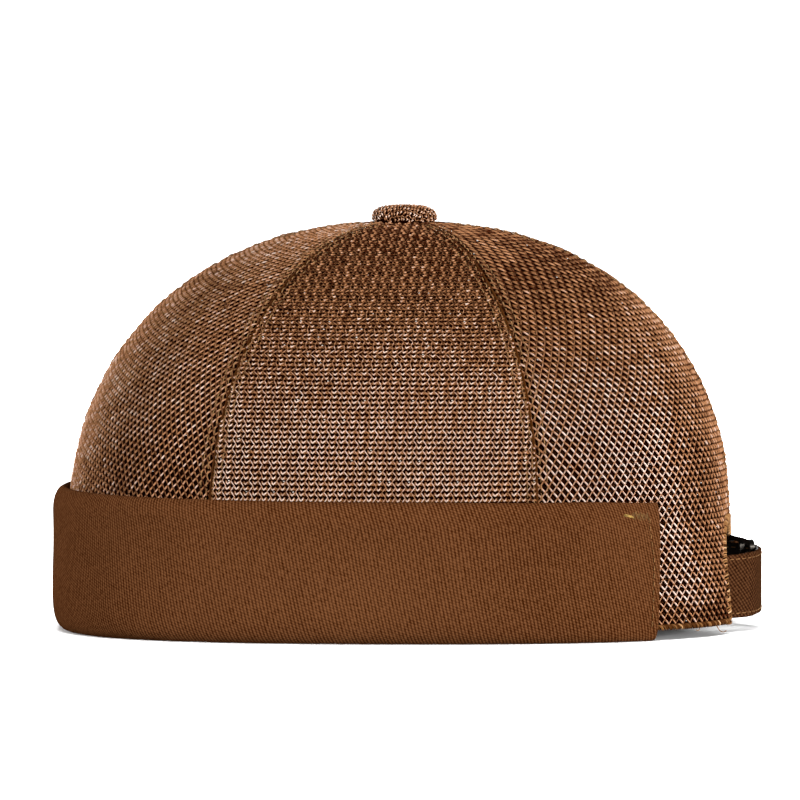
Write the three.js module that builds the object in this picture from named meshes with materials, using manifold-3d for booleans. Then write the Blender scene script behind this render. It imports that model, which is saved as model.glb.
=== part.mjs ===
// Docker cap: a brimless cap of six knitted mesh panels, with a twill turn-up cuff
// round the front and sides and an arched opening at the back, closed by a strap and a slide.
// Millimetres, +Z up. The front is towards -Y and the wearer's left side towards +X.

import * as THREE from 'three';
import { mergeVertices } from 'three/addons/utils/BufferGeometryUtils.js';
import Module from 'manifold-3d';

const wasm = await Module();
wasm.setup();

// Driving dimensions

const crown = {
  halfLength: 101.8,
  halfWidth: 89.5,
  apexHeight: 125.7,
  beltHeight: 36,      // the wall is upright below this height and curves in above it
  hemHeight: 2.1,      // lower edge of the panels above the table
  wall: 1.4,           // two layers of mesh
  panelDip: 1.5,       // how far the middle of a panel lies inside its seams
  backFlare: 5.3,      // how far the lower edge spreads at the back
  lean: 1.6,           // how far the top lies behind the middle of the belt
  topHole: 4,          // radius of the hole that the button covers
  sideSeamFront: 34.2, // degrees from the side towards the front
  sideSeamBack: 29.4,  // degrees from the side towards the back
};
// Powers of the crown's curves: its profile, and its plan at three heights
const curve = { risePower: 2.04, bulgePower: 2.3, hemPower: 2.6, beltPower: 2.3, topPower: 2 };

const arch = { halfWidth: 32, height: 34.5, squareness: 2.8 };

const cuff = {
  height: 43.9,
  standOff: 4.9,       // from the crown to the outer face, at the front
  thickness: 2.4,      // folded twill
  floor: 1.5,          // twill under the crown's lower edge
  seamLap: 1.6,        // how far the twill runs in past the crown's wall
  foldRise: 12,        // height of the rounded lower fold
  rollRise: 7,         // height of the rounded upper edge
  tipGap: 0.7,         // between the upper edge and the crown
  endY: 81,            // behind the middle of the belt
};
// From the middle of the front to either end: shares of the cuff's stand-off and height
const cuffRows = [
  { atShare: 0, offShare: 1, heightShare: 1 },
  { atShare: 0.3, offShare: 1.1, heightShare: 0.99 },
  { atShare: 0.65, offShare: 1.22, heightShare: 0.985 },
  { atShare: 0.88, offShare: 0.95, heightShare: 0.965 },
  { atShare: 1, offShare: 0.66, heightShare: 0.94 },
];

const button = { radius: 9.9, height: 4.2 };

const strap = {
  width: 19.5,
  thickness: 1.6,
  lowerEdge: 5.1,      // at the middle of the back
  standOff: 10,        // its outermost point behind the crown's belt
  wallGap: 0.6,
  endAngle: 63,        // degrees from the side towards the back, inside the wall
  tilt: 2.5,           // degrees by which it climbs towards the wearer's right
};
const slide = {
  length: 21,
  bar: 1.5,
  depth: 1.4,
  edgeGap: 0.6,        // between the strap's edge and the slide's rail
  corner: 2.2,
  nearX: -3,
  setIn: 2.6,          // its near end inside the strap's outermost point
  slope: 20.9,         // degrees
};
const tab = { ringRadius: 3, ringHole: 1.5 };

// Plan route of the strap. Laps inside the wall are shares of the way from the strap's end to
// the middle of the back, with a depth in layers of cloth. The bulge is in shares of the arch's
// half width and of the strap's reach, and the slide's rows in shares of its length and clearances.
const strapLap = [{ atShare: 0, layers: 0 }, { atShare: 0.22, layers: 0 }, { atShare: 0.42, layers: 0 }];
const strapBulge = [{ acrossShare: 0.5, backShare: 0.976 }, { acrossShare: 0.16, backShare: 1 }];
const overSlide = [
  { alongShare: 0.04, outShare: 1.17 },
  { alongShare: 0.49, outShare: 1.33 },
  { alongShare: 0.7, outShare: -0.33 },
];
const underTab = { alongShare: 0.96, outShare: -1.2 };
const tuckedEnd = [{ atShare: 0.42, layers: 1.6 }, { atShare: 0.2, layers: 1 }];
const tabLap = [{ atShare: 0.36, layers: 0.3 }, { atShare: 0.18, layers: 0 }, { atShare: 0, layers: 0 }];

const seamGap = 0.3;
const steps = {
  panelAcross: 10,
  panelLow: 4,
  panelDome: 12,
  cuff: 48,
  fold: 5,
  roll: 4,
  button: 24,
  strap: 36,
};

// Materials

const mesh = new THREE.MeshStandardMaterial({ color: 0x7a5540, roughness: 0.8, metalness: 0 });
const twill = new THREE.MeshStandardMaterial({ color: 0x663e24, roughness: 0.85, metalness: 0 });
const metal = new THREE.MeshStandardMaterial({ color: 0x35302a, roughness: 0.35, metalness: 1 });

// Helpers

const radians = THREE.MathUtils.degToRad;
const lerp = THREE.MathUtils.lerp;

// Solid for cutting and joining, from a closed geometry
function toSolid(geometry) {
  const bare = geometry.clone();
  bare.deleteAttribute('normal');
  bare.deleteAttribute('uv');
  const merged = mergeVertices(bare, 1e-3);
  return new wasm.Manifold(new wasm.Mesh({
    numProp: 3,
    vertProperties: new Float32Array(merged.attributes.position.array),
    triVerts: new Uint32Array(merged.index.array),
  }));
}

function toGeometry(solid) {
  const shape = solid.getMesh();
  const geometry = new THREE.BufferGeometry();
  geometry.setAttribute('position', new THREE.BufferAttribute(new Float32Array(shape.vertProperties), 3));
  geometry.setIndex(new THREE.BufferAttribute(new Uint32Array(shape.triVerts), 1));
  geometry.computeVertexNormals();
  return geometry;
}

function indexedGeometry(points, index) {
  const geometry = new THREE.BufferGeometry();
  const positions = points.flatMap((point) => [point.x, point.y, point.z]);
  geometry.setAttribute('position', new THREE.Float32BufferAttribute(positions, 3));
  geometry.setIndex(index);
  geometry.computeVertexNormals();
  return geometry;
}

// Closed skin through rings of points, with each end filled as the flat section of its ring
function loft(rings, endSection) {
  const count = rings[0].length;
  const index = [];
  for (let ring = 0; ring < rings.length - 1; ring += 1) {
    for (let side = 0; side < count; side += 1) {
      const next = (side + 1) % count;
      const a = ring * count + side;
      const b = ring * count + next;
      index.push(a, b + count, b, a, a + count, b + count);
    }
  }
  const last = (rings.length - 1) * count;
  for (const [a, b, c] of THREE.ShapeUtils.triangulateShape(endSection, [])) {
    index.push(a, b, c);
    index.push(last + a, last + c, last + b);
  }
  return indexedGeometry(rings.flat(), index);
}

// Closed shell between two grids of points, the first outside the second
function shell(outer, inner) {
  const rows = outer.length;
  const columns = outer[0].length;
  const at = (layer, row, column) => layer * rows * columns + row * columns + column;
  const index = [];
  const quad = (a, b, c, d) => index.push(a, b, c, a, c, d);
  for (let row = 0; row < rows - 1; row += 1) {
    for (let column = 0; column < columns - 1; column += 1) {
      quad(at(0, row, column), at(0, row, column + 1), at(0, row + 1, column + 1), at(0, row + 1, column));
      quad(at(1, row, column), at(1, row + 1, column), at(1, row + 1, column + 1), at(1, row, column + 1));
    }
  }
  for (let column = 0; column < columns - 1; column += 1) {
    const top = rows - 1;
    quad(at(1, 0, column), at(1, 0, column + 1), at(0, 0, column + 1), at(0, 0, column));
    quad(at(0, top, column), at(0, top, column + 1), at(1, top, column + 1), at(1, top, column));
  }
  for (let row = 0; row < rows - 1; row += 1) {
    const last = columns - 1;
    quad(at(1, row, 0), at(0, row, 0), at(0, row + 1, 0), at(1, row + 1, 0));
    quad(at(0, row, last), at(1, row, last), at(1, row + 1, last), at(0, row + 1, last));
  }
  return indexedGeometry([...outer.flat(), ...inner.flat()], index);
}

// Crown surface

const domeHeight = crown.apexHeight - crown.beltHeight;
const topTurn = Math.acos((crown.topHole / crown.halfLength) ** (curve.bulgePower / 2));

// Ring of the crown: level -1 is the hem, 0 the belt and 1 the edge of the top hole
function crownRing(level) {
  if (level < 0) {
    return {
      z: crown.beltHeight + level * (crown.beltHeight - crown.hemHeight),
      share: 1,
      power: lerp(curve.beltPower, curve.hemPower, -level),
      flare: crown.backFlare * Math.sin(-level * Math.PI / 2),
      dip: 0,
    };
  }
  const turn = level * topTurn;
  return {
    z: crown.beltHeight + domeHeight * Math.sin(turn) ** (2 / curve.risePower),
    share: Math.cos(turn) ** (2 / curve.bulgePower),
    power: lerp(curve.beltPower, curve.topPower, Math.sin(turn) ** 2),
    flare: 0,
    dip: crown.panelDip * Math.sin(2 * turn),
  };
}

function levelAt(z) {
  if (z < crown.beltHeight) {
    return Math.max(-1, (z - crown.beltHeight) / (crown.beltHeight - crown.hemHeight));
  }
  return Math.asin(((z - crown.beltHeight) / domeHeight) ** (curve.risePower / 2)) / topTurn;
}

function crownPoint(angle, level, dipShare = 0) {
  const ring = crownRing(level);
  const across = Math.abs(Math.cos(angle)) / crown.halfWidth;
  const along = Math.abs(Math.sin(angle)) / crown.halfLength;
  const plan = (across ** ring.power + along ** ring.power) ** (-1 / ring.power);
  const back = Math.max(0, Math.sin(angle)) ** 3;
  const radius = plan * ring.share + ring.flare * back - ring.dip * dipShare;
  const centreY = crown.lean * Math.max(0, ring.z - crown.beltHeight) / domeHeight;
  return new THREE.Vector3(radius * Math.cos(angle), centreY + radius * Math.sin(angle), ring.z);
}

// Outward direction of the crown without its dips
function crownNormal(angle, level) {
  const turn = 0.01;
  const climb = 0.005;
  const around = crownPoint(angle + turn, level).sub(crownPoint(angle - turn, level));
  const low = Math.max(-1, level - climb);
  const up = crownPoint(angle, Math.min(1, level + climb)).sub(crownPoint(angle, low));
  return around.cross(up).normalize();
}

// Crown panels

const panelLevels = [];
for (let row = 0; row < steps.panelLow; row += 1) panelLevels.push(row / steps.panelLow - 1);
for (let row = 0; row <= steps.panelDome; row += 1) panelLevels.push(row / steps.panelDome);

function panelGeometry(fromDegrees, toDegrees) {
  const outer = [];
  const inner = [];
  for (const level of panelLevels) {
    const outerRow = [];
    const innerRow = [];
    for (let column = 0; column <= steps.panelAcross; column += 1) {
      const share = column / steps.panelAcross;
      const middle = radians(lerp(fromDegrees, toDegrees, share));
      const radius = crownPoint(middle, level).setZ(0).length();
      const inset = seamGap / 2 / radius;
      const angle = lerp(radians(fromDegrees) + inset, radians(toDegrees) - inset, share);
      const point = crownPoint(angle, level, Math.sin(Math.PI * share));
      outerRow.push(point);
      innerRow.push(point.clone().addScaledVector(crownNormal(angle, level), -crown.wall));
    }
    outer.push(outerRow);
    inner.push(innerRow);
  }
  return shell(outer, inner);
}

// Opening at the back, cut through both back panels
function archCutter() {
  const halfSteps = 10;
  const shape = new THREE.Shape();
  for (let step = -halfSteps; step <= halfSteps; step += 1) {
    const turn = step / halfSteps * Math.PI / 2;
    const x = arch.halfWidth * Math.sign(turn) * Math.abs(Math.sin(turn)) ** (2 / arch.squareness);
    const z = arch.height * Math.cos(turn) ** (2 / arch.squareness);
    if (step === -halfSteps) shape.moveTo(x, -crown.hemHeight);
    shape.lineTo(x, Math.max(z, 0));
    if (step === halfSteps) shape.lineTo(x, -crown.hemHeight);
  }
  shape.closePath();
  const geometry = new THREE.ExtrudeGeometry(shape, { depth: crown.halfLength, bevelEnabled: false });
  geometry.rotateX(Math.PI / 2);
  geometry.translate(0, 1.5 * crown.halfLength, 0);
  return toSolid(geometry);
}

function backPanelGeometry(fromDegrees, toDegrees) {
  return toGeometry(toSolid(panelGeometry(fromDegrees, toDegrees)).subtract(archCutter()));
}

// Turn-up cuff

// Values of the cuff's rows at a share of the way from the front to an end
function cuffAt(share) {
  const next = Math.max(1, cuffRows.findIndex((row) => row.atShare >= share));
  const from = cuffRows[next - 1];
  const to = cuffRows[next];
  const local = THREE.MathUtils.smoothstep(share, from.atShare, to.atShare);
  return {
    standOff: cuff.standOff * lerp(from.offShare, to.offShare, local),
    height: cuff.height * lerp(from.heightShare, to.heightShare, local),
  };
}

// Section of the folded cloth: distance out from the crown, and height
function cuffSection(share) {
  const { standOff, height } = cuffAt(share);
  const inside = standOff - cuff.thickness;
  const footOut = -crown.wall / 2;
  const footIn = -crown.wall - cuff.seamLap;
  const section = [{ out: footIn, z: cuff.floor }, { out: footIn, z: 0 }];
  const quarter = (count, place) => {
    for (let step = 0; step <= count; step += 1) section.push(place(step / count * Math.PI / 2));
  };
  quarter(steps.fold, (turn) => ({
    out: lerp(footOut, standOff, Math.sin(turn)),
    z: cuff.foldRise * (1 - Math.cos(turn)),
  }));
  const tipOut = cuff.tipGap + cuff.thickness / 2;
  quarter(steps.roll, (turn) => ({
    out: lerp(tipOut, standOff, Math.cos(turn)),
    z: height - cuff.rollRise * (1 - Math.sin(turn)),
  }));
  const innerTop = height - cuff.thickness * 0.8;
  quarter(steps.roll, (turn) => ({
    out: lerp(cuff.tipGap, inside, Math.sin(turn)),
    z: innerTop - cuff.rollRise * (1 - Math.cos(turn)),
  }));
  quarter(steps.fold, (turn) => ({
    out: lerp(0, inside, Math.cos(turn)),
    z: lerp(cuff.foldRise, cuff.floor, Math.sin(turn)),
  }));
  return section;
}

// Angle at which the crown's wall reaches a distance behind the middle of the belt
function angleAtY(level, y) {
  let low = 0;
  let high = Math.PI / 2;
  for (let round = 0; round < 30; round += 1) {
    const middle = (low + high) / 2;
    if (crownPoint(middle, level).y < y) low = middle;
    else high = middle;
  }
  return low;
}

// Place on the cuff: side runs from -1 at the right end past 0 in front to 1 at the left end
function cuffPoint(side, { out, z }) {
  const level = levelAt(z);
  const angle = side * (angleAtY(level, cuff.endY) + Math.PI / 2) - Math.PI / 2;
  const outward = crownNormal(angle, level).setZ(0).normalize();
  return crownPoint(angle, level).setZ(z).addScaledVector(outward, out);
}

function cuffGeometry() {
  const rings = [];
  for (let step = 0; step <= steps.cuff; step += 1) {
    const side = 2 * step / steps.cuff - 1;
    rings.push(cuffSection(Math.abs(side)).map((place) => cuffPoint(side, place)));
  }
  return loft(rings, cuffSection(1).map((place) => new THREE.Vector2(place.out, place.z)));
}

// Covered button on the top

function buttonGeometry() {
  const base = crown.apexHeight + seamGap;
  const profile = [new THREE.Vector2(0, base), new THREE.Vector2(0.9 * button.radius, base)];
  const arcSteps = 6;
  for (let step = 0; step <= arcSteps; step += 1) {
    const turn = step / arcSteps * Math.PI / 2;
    const radius = button.radius * Math.cos(turn) ** 0.7;
    const rise = lerp(0.2, 1, Math.sin(turn));
    profile.push(new THREE.Vector2(step === arcSteps ? 0 : radius, base + button.height * rise));
  }
  const geometry = new THREE.LatheGeometry(profile, steps.button);
  geometry.rotateX(Math.PI / 2);
  geometry.translate(0, crown.lean, 0);
  return geometry;
}

// Back strap, its tab and the slide, as plan outlines drawn up along Z

// Band of the strap's cloth along a plan path
function bandGeometry(path) {
  const half = strap.thickness / 2;
  const points = path.getSpacedPoints(steps.strap);
  const left = [];
  const right = [];
  points.forEach((point, step) => {
    const tangent = path.getTangentAt(step / steps.strap);
    const side = new THREE.Vector2(-tangent.y, tangent.x).multiplyScalar(half);
    left.push(point.clone().add(side));
    right.unshift(point.clone().sub(side));
  });
  const shape = new THREE.Shape([...left, ...right]);
  return upright(shape);
}

function upright(shape, curveSegments = 10) {
  const rise = { depth: strap.width, bevelEnabled: false, curveSegments };
  const geometry = new THREE.ExtrudeGeometry(shape, rise);
  geometry.translate(0, 0, strap.lowerEdge);
  return geometry;
}

// The strap, its slide and its tab climb together towards the wearer's right
const climb = Math.tan(radians(strap.tilt));

function tilted(geometry) {
  const position = geometry.attributes.position;
  for (let point = 0; point < position.count; point += 1) {
    position.setZ(point, position.getZ(point) - climb * position.getX(point));
  }
  geometry.computeVertexNormals();
  return geometry;
}

// Place in plan just inside the crown's wall, clear of it over the strap's whole width;
// side is 1 on the wearer's left and -1 on the right
function insideWall({ atShare, layers }, side) {
  const fromSide = radians(lerp(strap.endAngle, 90, atShare));
  const angle = side > 0 ? fromSide : Math.PI - fromSide;
  const top = levelAt(strap.lowerEdge + strap.width + climb * crown.halfWidth / 2);
  const layerStep = strap.thickness + strap.wallGap;
  const depth = crown.wall + strap.wallGap + strap.thickness / 2 + layers * layerStep;
  const point = crownPoint(angle, top).addScaledVector(crownNormal(angle, top).setZ(0).normalize(), -depth);
  return new THREE.Vector2(point.x, point.y);
}

const strapReach = crown.halfLength + strap.standOff;

// Plan place from the slide's near end: along it, and out from its middle
function bySlide(along, out) {
  const slope = radians(slide.slope);
  return new THREE.Vector2(
    slide.nearX - along * Math.cos(slope) - out * Math.sin(slope),
    strapReach - slide.setIn - along * Math.sin(slope) + out * Math.cos(slope),
  );
}

const overBar = slide.depth / 2 + seamGap + strap.thickness / 2;
const farBar = slide.length - slide.bar / 2;
const underRing = tab.ringRadius + seamGap + strap.thickness / 2;

function strapGeometry() {
  const bulge = strapReach - strap.thickness / 2;
  const path = new THREE.SplineCurve([
    ...strapLap.map((row) => insideWall(row, 1)),
    ...strapBulge.map((row) => new THREE.Vector2(row.acrossShare * arch.halfWidth, row.backShare * bulge)),
    ...overSlide.map((row) => bySlide(row.alongShare * slide.length, row.outShare * overBar)),
    bySlide(underTab.alongShare * slide.length, underTab.outShare * underRing),
    ...tuckedEnd.map((row) => insideWall(row, -1)),
  ]);
  return tilted(bandGeometry(path));
}

function tabGeometry() {
  const path = new THREE.SplineCurve([
    bySlide(farBar + (tab.ringRadius + tab.ringHole) / 2.5, 0),
    bySlide(farBar + 1.5 * tab.ringRadius, -strap.thickness),
    ...tabLap.map((row) => insideWall(row, -1)),
  ]);
  const centre = bySlide(farBar, 0);
  const ring = new THREE.Shape();
  ring.absarc(centre.x, centre.y, tab.ringRadius, 0, 2 * Math.PI, false);
  const hole = new THREE.Shape();
  hole.absarc(centre.x, centre.y, tab.ringHole, 0, 2 * Math.PI, false);
  const joined = toSolid(bandGeometry(path)).add(toSolid(upright(ring))).subtract(toSolid(upright(hole)));
  return tilted(toGeometry(joined));
}

function roundedRectangle(target, left, bottom, right, top, corner) {
  target.moveTo(left + corner, bottom);
  target.lineTo(right - corner, bottom);
  target.absarc(right - corner, bottom + corner, corner, -Math.PI / 2, 0, false);
  target.lineTo(right, top - corner);
  target.absarc(right - corner, top - corner, corner, 0, Math.PI / 2, false);
  target.lineTo(left + corner, top);
  target.absarc(left + corner, top - corner, corner, Math.PI / 2, Math.PI, false);
  target.lineTo(left, bottom + corner);
  target.absarc(left + corner, bottom + corner, corner, Math.PI, 1.5 * Math.PI, false);
  return target;
}

function slideGeometry() {
  const bottom = strap.lowerEdge - slide.edgeGap;
  const top = strap.lowerEdge + strap.width + slide.edgeGap;
  const shape = roundedRectangle(
    new THREE.Shape(), 0, bottom - slide.bar, slide.length, top + slide.bar, slide.corner,
  );
  const windowLength = (slide.length - 3 * slide.bar) / 2;
  for (const left of [slide.bar, 2 * slide.bar + windowLength]) {
    const corner = slide.corner - slide.bar;
    const hole = roundedRectangle(new THREE.Path(), left, bottom, left + windowLength, top, corner);
    shape.holes.push(hole);
  }
  const plate = { depth: slide.depth, bevelEnabled: false, curveSegments: 4 };
  const geometry = new THREE.ExtrudeGeometry(shape, plate);
  geometry.translate(0, 0, -slide.depth / 2);
  geometry.rotateX(Math.PI / 2);
  geometry.rotateZ(Math.PI + radians(slide.slope));
  const nearEnd = bySlide(0, 0);
  geometry.translate(nearEnd.x, nearEnd.y, 0);
  return tilted(geometry);
}

// Assembly

const cap = new THREE.Group();

function addPiece(name, geometry, material) {
  const piece = new THREE.Mesh(geometry, material);
  piece.name = name;
  cap.add(piece);
}

// Panels on the wearer's left, by their seams in degrees; the right ones mirror them
const panelRows = [
  { place: 'front', from: -90, to: -crown.sideSeamFront, build: panelGeometry },
  { place: 'side', from: -crown.sideSeamFront, to: crown.sideSeamBack, build: panelGeometry },
  { place: 'back', from: crown.sideSeamBack, to: 90, build: backPanelGeometry },
];
for (const { place, from, to, build } of panelRows) {
  addPiece(`crown_panel_${place}_left`, build(from, to), mesh);
  addPiece(`crown_panel_${place}_right`, build(180 - to, 180 - from), mesh);
}
addPiece('top_button', buttonGeometry(), mesh);
addPiece('turn_up_cuff', cuffGeometry(), twill);
addPiece('back_strap', strapGeometry(), twill);
addPiece('strap_tab', tabGeometry(), twill);
addPiece('strap_slide', slideGeometry(), metal);

// The origin lies under the middle of the whole cap
cap.position.y = (crown.halfLength + cuff.standOff - strapReach) / 2;

export default cap;
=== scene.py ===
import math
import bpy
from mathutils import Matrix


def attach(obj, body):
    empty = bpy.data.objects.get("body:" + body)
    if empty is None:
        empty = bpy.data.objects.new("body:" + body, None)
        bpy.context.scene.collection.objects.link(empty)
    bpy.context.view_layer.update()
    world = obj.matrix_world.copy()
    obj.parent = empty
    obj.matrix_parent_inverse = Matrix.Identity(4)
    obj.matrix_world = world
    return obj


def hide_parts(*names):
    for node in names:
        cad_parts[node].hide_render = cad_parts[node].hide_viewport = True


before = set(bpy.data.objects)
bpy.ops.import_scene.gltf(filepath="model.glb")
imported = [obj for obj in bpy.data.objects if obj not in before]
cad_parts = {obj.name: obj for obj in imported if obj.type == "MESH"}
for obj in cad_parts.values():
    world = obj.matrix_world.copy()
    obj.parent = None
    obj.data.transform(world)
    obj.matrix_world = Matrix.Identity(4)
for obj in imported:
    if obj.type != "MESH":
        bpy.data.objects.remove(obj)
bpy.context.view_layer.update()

# Docker cap: knitted mesh panels round a top button, a twill turn-up cuff, a back strap and its slide.
# Lengths are millimetres, measured from the middle of the crown's belt, until make_mesh turns them
# into metres in the part's own frame. The front is towards -Y and the wearer's left towards +X.

from types import SimpleNamespace

import bpy
import numpy as np
from mathutils import Vector

MM = 0.001
SEED = 7
random = np.random.default_rng(SEED)

# Driving dimensions, the same as the solid model's

crown = SimpleNamespace(
    half_length=101.8, half_width=89.5, apex_height=125.7, belt_height=36, hem_height=2.1, wall=1.4,
    panel_dip=1.5, back_flare=5.3, lean=1.6, top_hole=4, side_seam_front=34.2, side_seam_back=29.4,
)
curve = SimpleNamespace(rise_power=2.04, bulge_power=2.3, hem_power=2.6, belt_power=2.3, top_power=2)
arch = SimpleNamespace(half_width=32, height=34.5, squareness=2.8)
cuff = SimpleNamespace(
    height=43.9, stand_off=4.9, thickness=2.4, floor=1.5, seam_lap=1.6, fold_rise=12, roll_rise=7,
    tip_gap=0.7, end_y=81,
)
# From the middle of the front to either end: shares of the cuff's stand-off and height
cuff_rows = [(0, 1, 1), (0.3, 1.1, 0.99), (0.65, 1.22, 0.985), (0.88, 0.95, 0.965), (1, 0.66, 0.94)]
button = SimpleNamespace(radius=9.9, height=4.2, gap=0.3)
strap = SimpleNamespace(
    width=19.5, thickness=1.6, lower_edge=5.1, stand_off=10, wall_gap=0.6, end_angle=63, tilt=2.5,
)
slide = SimpleNamespace(length=21, bar=1.5, depth=1.4, near_x=-3, set_in=2.6, slope=20.9)
tab = SimpleNamespace(ring_radius=3, ring_hole=1.5)

strap_reach = crown.half_length + strap.stand_off
middle_y = (crown.half_length + cuff.stand_off - strap_reach) / 2

# Knit of the mesh, over an inner layer. On the side panels a cell holds a zigzag wale and two short
# links, and cells get a little shorter with each row. On the others it is a net of diamonds. Its
# cells get taller towards the top of the back panels, and on the front panels its rows drop
# towards the side seam.
knit = SimpleNamespace(
    hem_cell=3.48, shrink=0.0076, stretch=0.005, stretch_from=75, front_drop=0.24,
    sink=-0.5, rib=-0.52, furrow=-1.25, inside=-1.75, wobble=0.04, finer_from=55, finer_by=105,
)
cell_width = {"front": 2.3, "side": 2.96, "back": 2.66}
strand_size = {"front": 0.86, "side": 1.0, "back": 1.0}
wider_by_arch = 0.7
strand_sides = 3
glint_share = {"front": 0.03, "side": 0.1, "back": 0.05}

# Painted light and shade on the yarn: lighter or darker over a whole panel, painted shade towards its top,
# beside its seams and beside the arch; plain darkening beside the hem, and random tone from strand to
# strand
panel_painted_light = {"front": -0.16, "side": 0.32, "back": 0.24}
top_painted_shade = {"front": -0.05, "side": -0.85, "back": -0.75}
seam_painted_shade = {"front": -0.2, "side": -0.2, "back": -0.22}
arch_painted_shade = -0.52
hem_tone = -0.45
tone_spread = 0.14
# Heights and distances over which they come in, along the cloth
fade = SimpleNamespace(
    top_from=65, top_length=60, seam_reach=2.6, hem_length=8, arch_from=-5, arch_by=18,
    arch_full_below=60, arch_none_above=105,
)
# Painted light that the inner layer shows, of 1: over most of a panel and at its top
backing_share = {"front": 0.45, "side": 1.0, "back": 0.45}
top_backing_share = 0.9

seam = SimpleNamespace(
    ridge=0.3, ridge_at=2.0, ridge_spread=1.2, valley=0.3, valley_spread=0.6, cord_height=-1.0,
    cord_radius=0.5,
)
topstitch = SimpleNamespace(offset=3.2, length=2.2, gap=0.6, radius=0.17)
hem_line_height = 3.5


def lerp(a, b, share):
    return a + (b - a) * share


def smooth_step(value, low, high):
    share = np.clip((value - low) / (high - low), 0, 1)
    return share * share * (3 - 2 * share)


def unit(vectors):
    return vectors / np.maximum(np.linalg.norm(vectors, axis=-1, keepdims=True), 1e-12)


# Crown surface

dome_height = crown.apex_height - crown.belt_height
top_turn = math.acos((crown.top_hole / crown.half_length) ** (curve.bulge_power / 2))


def crown_height(level):
    low = np.minimum(level, 0)
    turn = np.clip(level, 0, 1) * top_turn
    rise = dome_height * np.sin(turn) ** (2 / curve.rise_power)
    return crown.belt_height + low * (crown.belt_height - crown.hem_height) + rise


def level_at(z):
    low = (z - crown.belt_height) / (crown.belt_height - crown.hem_height)
    rise = np.clip((z - crown.belt_height) / dome_height, 0, 1)
    return np.where(z < crown.belt_height, np.maximum(-1, low),
                    np.arcsin(rise ** (curve.rise_power / 2)) / top_turn)


def crown_point(angle, level, dip_share=0.0):
    """Level -1 is the hem, 0 the belt and 1 the edge of the top hole."""
    low = np.clip(-level, 0, 1)
    turn = np.clip(level, 0, 1) * top_turn
    z = crown_height(level)
    power = np.where(
        level < 0,
        lerp(curve.belt_power, curve.hem_power, low),
        lerp(curve.belt_power, curve.top_power, np.sin(turn) ** 2),
    )
    across = np.abs(np.cos(angle)) / crown.half_width
    along = np.abs(np.sin(angle)) / crown.half_length
    plan = (across ** power + along ** power) ** (-1 / power)
    flare = crown.back_flare * np.sin(low * np.pi / 2) * np.maximum(0, np.sin(angle)) ** 3
    dip = crown.panel_dip * np.sin(2 * turn) * dip_share
    radius = plan * np.cos(turn) ** (2 / curve.bulge_power) + flare - dip
    centre_y = crown.lean * np.maximum(0, z - crown.belt_height) / dome_height
    place = radius * np.cos(angle), centre_y + radius * np.sin(angle), z
    return np.stack(np.broadcast_arrays(*place), axis=-1)


def crown_normal(angle, level):
    turn = 0.01
    climb = 0.005
    around = crown_point(angle + turn, level) - crown_point(angle - turn, level)
    low = np.maximum(-1, level - climb)
    up = crown_point(angle, np.minimum(1, level + climb)) - crown_point(angle, low)
    return unit(np.cross(around, up))


def horizontal(vectors):
    return unit(vectors * np.array([1, 1, 0]))


def smooth_noise(u, v, scale, seed=0.0):
    """Gentle waves from -1 to 1, the same each run, that don't repeat over the cap."""
    a = u / scale
    b = v / scale
    return (np.sin(1.7 * a + 2.3 * b + 1.1 + seed) + np.sin(-2.9 * a + 1.3 * b + 2.7 * seed)
            + np.sin(0.9 * a - 3.1 * b + 4.0 + seed)) / 3


def run_along(points):
    """Length along a path up to each of its points; a grid of points gives one path a column."""
    steps = np.linalg.norm(np.diff(points, axis=0), axis=-1)
    return np.concatenate([np.zeros_like(steps[:1]), np.cumsum(steps, axis=0)])


def follow(at, run, points):
    """Places at some lengths along a path, from its points and their own lengths."""
    return np.stack([np.interp(at, run, points[:, axis]) for axis in range(points.shape[1])], axis=-1)


def angle_where(holds, level):
    """Angle behind the middle of the left side at which a test of the wall's points stops holding."""
    low = np.zeros_like(level)
    high = np.full_like(level, np.pi / 2)
    for _ in range(30):
        middle = (low + high) / 2
        held = holds(crown_point(middle, level))
        low = np.where(held, middle, low)
        high = np.where(held, high, middle)
    return low


# Meshes from arrays

def new_object(name, data):
    thing = bpy.data.objects.new(name, data)
    bpy.context.scene.collection.objects.link(thing)
    return thing


def make_mesh(name, points, faces, material, uv=None, shade=None, smooth=True, face_materials=None):
    """Points in millimetres from the belt's middle; a triangle's fourth corner is -1."""
    points = np.asarray(points, dtype=float) + np.array([0, middle_y, 0])
    faces = np.asarray(faces, dtype=np.int32)
    corners = faces[faces >= 0]
    sizes = (faces >= 0).sum(axis=1)
    mesh = bpy.data.meshes.new(name)
    mesh.vertices.add(len(points))
    mesh.vertices.foreach_set("co", (points * MM).astype(np.float32).ravel())
    mesh.loops.add(len(corners))
    mesh.loops.foreach_set("vertex_index", corners)
    mesh.polygons.add(len(faces))
    mesh.polygons.foreach_set("loop_start", (np.cumsum(sizes) - sizes).astype(np.int32))
    mesh.update(calc_edges=True)
    mesh.polygons.foreach_set("use_smooth", np.full(len(faces), smooth))
    if uv is not None:
        layer = mesh.uv_layers.new(name="cloth")
        layer.data.foreach_set("uv", np.asarray(uv, dtype=np.float32)[corners].ravel())
    if shade is not None:
        attribute = mesh.attributes.new("shade", "FLOAT", "POINT")
        attribute.data.foreach_set("value", np.asarray(shade, dtype=np.float32))
    materials = material if isinstance(material, list) else [material]
    for entry in materials:
        mesh.materials.append(entry)
    if face_materials is not None:
        mesh.polygons.foreach_set("material_index", np.asarray(face_materials, dtype=np.int32))
    mesh.validate()
    return new_object(name, mesh)


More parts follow.
